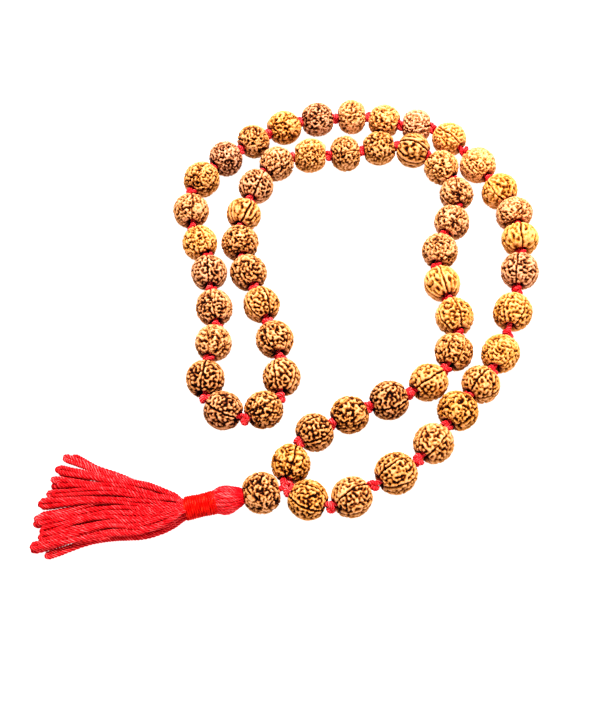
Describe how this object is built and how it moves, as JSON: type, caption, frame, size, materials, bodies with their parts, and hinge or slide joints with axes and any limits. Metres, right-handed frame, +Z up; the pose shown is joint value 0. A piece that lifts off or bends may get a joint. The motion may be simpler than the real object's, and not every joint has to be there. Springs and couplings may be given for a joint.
{
  "type": "mala prayer beads",
  "caption": "Short string of knotted seed prayer beads laid in a closed loop, with a guru bead and a red yarn tassel.",
  "frame": {"origin": "on the table, under the middle of the whole object's box", "axes": "+Z up from the table, +Y to the far end of the loop, -X to the tassel"},
  "size_m": [0.1325, 0.1421, 0.0118],
  "materials": {
    "rudraksha": "carved natural seed with a light polish on its ridges",
    "red_cotton": "matte twisted cotton",
    "wrap_thread": "satin thread, wound in fine turns",
    "tassel_yarn": "matte plied yarn"
  },
  "bodies": {
    "loop": {"string": "red_cotton"},
    "lobe": {"string_lobe": "red_cotton"},
    "tassel": {"tassel_head": "tassel_yarn", "tassel_wrap": "wrap_thread"},
    "skirt": {"tassel_skirt": "tassel_yarn"},
    "guru_bead": {"guru_bead": "rudraksha"},
    "bead_01": {"bead_01": "rudraksha"},
    "bead_02": {"bead_02": "rudraksha"},
    "bead_03": {"bead_03": "rudraksha"},
    "bead_04": {"bead_04": "rudraksha"},
    "bead_05": {"bead_05": "rudraksha"},
    "bead_06": {"bead_06": "rudraksha"},
    "bead_07": {"bead_07": "rudraksha"},
    "bead_08": {"bead_08": "rudraksha"},
    "bead_09": {"bead_09": "rudraksha"},
    "bead_10": {"bead_10": "rudraksha"},
    "bead_11": {"bead_11": "rudraksha"},
    "bead_12": {"bead_12": "rudraksha"},
    "bead_13": {"bead_13": "rudraksha"},
    "bead_14": {"bead_14": "rudraksha"},
    "bead_15": {"bead_15": "rudraksha"},
    "bead_16": {"bead_16": "rudraksha"},
    "bead_17": {"bead_17": "rudraksha"},
    "bead_18": {"bead_18": "rudraksha"},
    "bead_19": {"bead_19": "rudraksha"},
    "bead_20": {"bead_20": "rudraksha"},
    "bead_21": {"bead_21": "rudraksha"},
    "bead_22": {"bead_22": "rudraksha"},
    "bead_23": {"bead_23": "rudraksha"},
    "bead_24": {"bead_24": "rudraksha"},
    "bead_25": {"bead_25": "rudraksha"},
    "bead_26": {"bead_26": "rudraksha"},
    "bead_27": {"bead_27": "rudraksha"},
    "bead_28": {"bead_28": "rudraksha"},
    "bead_29": {"bead_29": "rudraksha"},
    "bead_30": {"bead_30": "rudraksha"},
    "bead_31": {"bead_31": "rudraksha"},
    "bead_32": {"bead_32": "rudraksha"},
    "bead_33": {"bead_33": "rudraksha"},
    "bead_34": {"bead_34": "rudraksha"},
    "bead_35": {"bead_35": "rudraksha"},
    "bead_36": {"bead_36": "rudraksha"},
    "bead_37": {"bead_37": "rudraksha"},
    "bead_38": {"bead_38": "rudraksha"},
    "bead_39": {"bead_39": "rudraksha"},
    "bead_40": {"bead_40": "rudraksha"},
    "bead_41": {"bead_41": "rudraksha"},
    "bead_42": {"bead_42": "rudraksha"},
    "bead_43": {"bead_43": "rudraksha"},
    "bead_44": {"bead_44": "rudraksha"},
    "bead_45": {"bead_45": "rudraksha"},
    "bead_46": {"bead_46": "rudraksha"},
    "bead_47": {"bead_47": "rudraksha"},
    "bead_48": {"bead_48": "rudraksha"},
    "bead_49": {"bead_49": "rudraksha"},
    "bead_50": {"bead_50": "rudraksha"},
    "bead_51": {"bead_51": "rudraksha"},
    "bead_52": {"bead_52": "rudraksha"},
    "bead_53": {"bead_53": "rudraksha"},
    "bead_54": {"bead_54": "rudraksha"}
  },
  "joints": [
    {"name": "lobe_fold", "type": "hinge", "parent": "loop", "child": "lobe", "pos_m": [-0.0235, 0.0365, 0.00525], "axis": [-0.9848, 0.1738, 0], "range_deg": [0, 40]},
    {"name": "guru_tassel_swing", "type": "hinge", "parent": "loop", "child": "tassel", "pos_m": [-0.01499, -0.05654, 0.00525], "axis": [0, 0, 1], "range_deg": [-40, 40]},
    {"name": "skirt_bend", "type": "hinge", "parent": "tassel", "child": "skirt", "pos_m": [-0.0309, -0.05963, 0.00355], "axis": [0.1045, 0.9945, 0], "range_deg": [0, 60]},
    {"name": "spin_guru_bead", "type": "hinge", "parent": "loop", "child": "guru_bead", "pos_m": [-0.01008, -0.05558, 0.00525], "axis": [-0.9816, -0.1908, 0], "continuous": true},
    {"name": "spin_bead_01", "type": "hinge", "parent": "loop", "child": "bead_01", "pos_m": [-0.00269, -0.04776, 0.00525], "axis": [0.26, 0.9656, 0], "continuous": true},
    {"name": "spin_bead_02", "type": "hinge", "parent": "loop", "child": "bead_02", "pos_m": [0.00325, -0.039, 0.00525], "axis": [0.8619, 0.507, 0], "continuous": true},
    {"name": "spin_bead_03", "type": "hinge", "parent": "loop", "child": "bead_03", "pos_m": [0.01225, -0.034, 0.00525], "axis": [0.8849, 0.4657, 0], "continuous": true},
    {"name": "spin_bead_04", "type": "hinge", "parent": "loop", "child": "bead_04", "pos_m": [0.0225, -0.02975, 0.00525], "axis": [0.9529, 0.3032, 0], "continuous": true},
    {"name": "spin_bead_05", "type": "hinge", "parent": "loop", "child": "bead_05", "pos_m": [0.033, -0.0245, 0.00525], "axis": [0.8192, 0.5735, 0], "continuous": true},
    {"name": "spin_bead_06", "type": "hinge", "parent": "loop", "child": "bead_06", "pos_m": [0.04025, -0.01525, 0.00525], "axis": [0.3644, 0.9312, 0], "continuous": true},
    {"name": "spin_bead_07", "type": "hinge", "parent": "loop", "child": "bead_07", "pos_m": [0.04125, -0.00425, 0.00525], "axis": [-0.2316, 0.9728, 0], "continuous": true},
    {"name": "spin_bead_08", "type": "hinge", "parent": "loop", "child": "bead_08", "pos_m": [0.0385, 0.0065, 0.00525], "axis": [-0.2631, 0.9648, 0], "continuous": true},
    {"name": "spin_bead_09", "type": "hinge", "parent": "loop", "child": "bead_09", "pos_m": [0.0385, 0.01725, 0.00525], "axis": [0.2747, 0.9615, 0], "continuous": true},
    {"name": "spin_bead_10", "type": "hinge", "parent": "loop", "child": "bead_10", "pos_m": [0.0425, 0.02725, 0.00525], "axis": [0.4657, 0.8849, 0], "continuous": true},
    {"name": "spin_bead_11", "type": "hinge", "parent": "loop", "child": "bead_11", "pos_m": [0.0445, 0.03725, 0.00525], "axis": [-0.0948, 0.9955, 0], "continuous": true},
    {"name": "spin_bead_12", "type": "hinge", "parent": "loop", "child": "bead_12", "pos_m": [0.04075, 0.0465, 0.00575], "axis": [-0.6276, 0.7725, 0.0966], "continuous": true},
    {"name": "spin_bead_13", "type": "hinge", "parent": "loop", "child": "bead_13", "pos_m": [0.03275, 0.0525, 0.00625], "axis": [-0.9216, 0.3881, 0], "continuous": true},
    {"name": "spin_bead_14", "type": "hinge", "parent": "loop", "child": "bead_14", "pos_m": [0.02275, 0.05375, 0.00575], "axis": [-0.9856, -0.1408, -0.0939], "continuous": true},
    {"name": "spin_bead_15", "type": "hinge", "parent": "loop", "child": "bead_15", "pos_m": [0.01275, 0.05225, 0.00525], "axis": [-0.9878, -0.156, 0], "continuous": true},
    {"name": "spin_bead_16", "type": "hinge", "parent": "loop", "child": "bead_16", "pos_m": [0.0025, 0.0515, 0.00525], "axis": [-1, 0, 0], "continuous": true},
    {"name": "spin_bead_17", "type": "hinge", "parent": "loop", "child": "bead_17", "pos_m": [-0.00725, 0.04825, 0.00525], "axis": [-0.7944, -0.6075, 0], "continuous": true},
    {"name": "spin_bead_18", "type": "hinge", "parent": "loop", "child": "bead_18", "pos_m": [-0.01325, 0.04, 0.00525], "axis": [-0.3304, -0.9439, 0], "continuous": true},
    {"name": "spin_bead_19", "type": "hinge", "parent": "lobe", "child": "bead_19", "pos_m": [-0.0165, 0.03, 0.00525], "axis": [-0.2873, -0.9578, 0], "continuous": true},
    {"name": "spin_bead_20", "type": "hinge", "parent": "lobe", "child": "bead_20", "pos_m": [-0.01725, 0.02, 0.00525], "axis": [0.1483, -0.9889, 0], "continuous": true},
    {"name": "spin_bead_21", "type": "hinge", "parent": "lobe", "child": "bead_21", "pos_m": [-0.01475, 0.01, 0.00525], "axis": [0.3304, -0.9439, 0], "continuous": true},
    {"name": "spin_bead_22", "type": "hinge", "parent": "lobe", "child": "bead_22", "pos_m": [-0.011, -0.0005, 0.00525], "axis": [0.3417, -0.9398, 0], "continuous": true},
    {"name": "spin_bead_23", "type": "hinge", "parent": "lobe", "child": "bead_23", "pos_m": [-0.00725, -0.0115, 0.00525], "axis": [0.3032, -0.9529, 0], "continuous": true},
    {"name": "spin_bead_24", "type": "hinge", "parent": "lobe", "child": "bead_24", "pos_m": [-0.00525, -0.023, 0.00525], "axis": [0.0416, -0.9991, 0], "continuous": true},
    {"name": "spin_bead_25", "type": "hinge", "parent": "lobe", "child": "bead_25", "pos_m": [-0.00975, -0.0325, 0.00525], "axis": [-0.8051, -0.5932, 0], "continuous": true},
    {"name": "spin_bead_26", "type": "hinge", "parent": "lobe", "child": "bead_26", "pos_m": [-0.02025, -0.03275, 0.00525], "axis": [-0.8706, 0.4921, 0], "continuous": true},
    {"name": "spin_bead_27", "type": "hinge", "parent": "lobe", "child": "bead_27", "pos_m": [-0.02525, -0.0235, 0.00525], "axis": [0.124, 0.9923, 0], "continuous": true},
    {"name": "spin_bead_28", "type": "hinge", "parent": "lobe", "child": "bead_28", "pos_m": [-0.0235, -0.0125, 0.00525], "axis": [0.1961, 0.9806, 0], "continuous": true},
    {"name": "spin_bead_29", "type": "hinge", "parent": "lobe", "child": "bead_29", "pos_m": [-0.02375, -0.0015, 0.00525], "axis": [-0.204, 0.979, 0], "continuous": true},
    {"name": "spin_bead_30", "type": "hinge", "parent": "lobe", "child": "bead_30", "pos_m": [-0.0255, 0.01, 0.00525], "axis": [-0.0905, 0.9959, 0], "continuous": true},
    {"name": "spin_bead_31", "type": "hinge", "parent": "lobe", "child": "bead_31", "pos_m": [-0.0285, 0.02, 0.00525], "axis": [-0.4856, 0.8742, 0], "continuous": true},
    {"name": "spin_bead_32", "type": "hinge", "parent": "lobe", "child": "bead_32", "pos_m": [-0.0315, 0.03125, 0.00525], "axis": [-0.0739, 0.9973, 0], "continuous": true},
    {"name": "spin_bead_33", "type": "hinge", "parent": "loop", "child": "bead_33", "pos_m": [-0.029, 0.0425, 0.00525], "axis": [0.5547, 0.8321, 0], "continuous": true},
    {"name": "spin_bead_34", "type": "hinge", "parent": "loop", "child": "bead_34", "pos_m": [-0.02225, 0.05025, 0.00525], "axis": [0.7557, 0.6549, 0], "continuous": true},
    {"name": "spin_bead_35", "type": "hinge", "parent": "loop", "child": "bead_35", "pos_m": [-0.01425, 0.05675, 0.00525], "axis": [0.7944, 0.6075, 0], "continuous": true},
    {"name": "spin_bead_36", "type": "hinge", "parent": "loop", "child": "bead_36", "pos_m": [-0.00525, 0.06225, 0.00525], "axis": [0.9037, 0.4281, 0], "continuous": true},
    {"name": "spin_bead_37", "type": "hinge", "parent": "loop", "child": "bead_37", "pos_m": [0.00475, 0.06525, 0.00525], "axis": [0.9899, 0.1414, 0], "continuous": true},
    {"name": "spin_bead_38", "type": "hinge", "parent": "loop", "child": "bead_38", "pos_m": [0.015, 0.06625, 0.00525], "axis": [0.9988, 0.0499, 0], "continuous": true},
    {"name": "spin_bead_39", "type": "hinge", "parent": "loop", "child": "bead_39", "pos_m": [0.02475, 0.06475, 0.00525], "axis": [0.9383, -0.3457, 0], "continuous": true},
    {"name": "spin_bead_40", "type": "hinge", "parent": "loop", "child": "bead_40", "pos_m": [0.03425, 0.06275, 0.00525], "axis": [0.9986, -0.0526, 0], "continuous": true},
    {"name": "spin_bead_41", "type": "hinge", "parent": "loop", "child": "bead_41", "pos_m": [0.04375, 0.05775, 0.00525], "axis": [0.7071, -0.7071, 0], "continuous": true},
    {"name": "spin_bead_42", "type": "hinge", "parent": "loop", "child": "bead_42", "pos_m": [0.0515, 0.04775, 0.00525], "axis": [0.4961, -0.8682, 0], "continuous": true},
    {"name": "spin_bead_43", "type": "hinge", "parent": "loop", "child": "bead_43", "pos_m": [0.057, 0.03825, 0.00525], "axis": [0.507, -0.8619, 0], "continuous": true},
    {"name": "spin_bead_44", "type": "hinge", "parent": "loop", "child": "bead_44", "pos_m": [0.06025, 0.0295, 0.006], "axis": [0.1622, -0.9733, 0.1622], "continuous": true},
    {"name": "spin_bead_45", "type": "hinge", "parent": "loop", "child": "bead_45", "pos_m": [0.061, 0.02025, 0.00675], "axis": [0, -1, 0], "continuous": true},
    {"name": "spin_bead_46", "type": "hinge", "parent": "loop", "child": "bead_46", "pos_m": [0.06, 0.01, 0.006], "axis": [-0.1773, -0.9751, -0.133], "continuous": true},
    {"name": "spin_bead_47", "type": "hinge", "parent": "loop", "child": "bead_47", "pos_m": [0.057, -0.00275, 0.00525], "axis": [-0.2659, -0.964, 0], "continuous": true},
    {"name": "spin_bead_48", "type": "hinge", "parent": "loop", "child": "bead_48", "pos_m": [0.0525, -0.01575, 0.00525], "axis": [-0.3987, -0.9171, 0], "continuous": true},
    {"name": "spin_bead_49", "type": "hinge", "parent": "loop", "child": "bead_49", "pos_m": [0.0465, -0.025, 0.00525], "axis": [-0.7071, -0.7071, 0], "continuous": true},
    {"name": "spin_bead_50", "type": "hinge", "parent": "loop", "child": "bead_50", "pos_m": [0.04, -0.03275, 0.00525], "axis": [-0.5767, -0.817, 0], "continuous": true},
    {"name": "spin_bead_51", "type": "hinge", "parent": "loop", "child": "bead_51", "pos_m": [0.03325, -0.042, 0.00525], "axis": [-0.6, -0.8, 0], "continuous": true},
    {"name": "spin_bead_52", "type": "hinge", "parent": "loop", "child": "bead_52", "pos_m": [0.0235, -0.05025, 0.00525], "axis": [-0.8793, -0.4763, 0], "continuous": true},
    {"name": "spin_bead_53", "type": "hinge", "parent": "loop", "child": "bead_53", "pos_m": [0.01225, -0.05675, 0.00525], "axis": [-0.8503, -0.5264, 0], "continuous": true},
    {"name": "spin_bead_54", "type": "hinge", "parent": "loop", "child": "bead_54", "pos_m": [0.00147, -0.05736, 0.00525], "axis": [-0.9021, 0.4315, 0], "continuous": true}
  ]
}
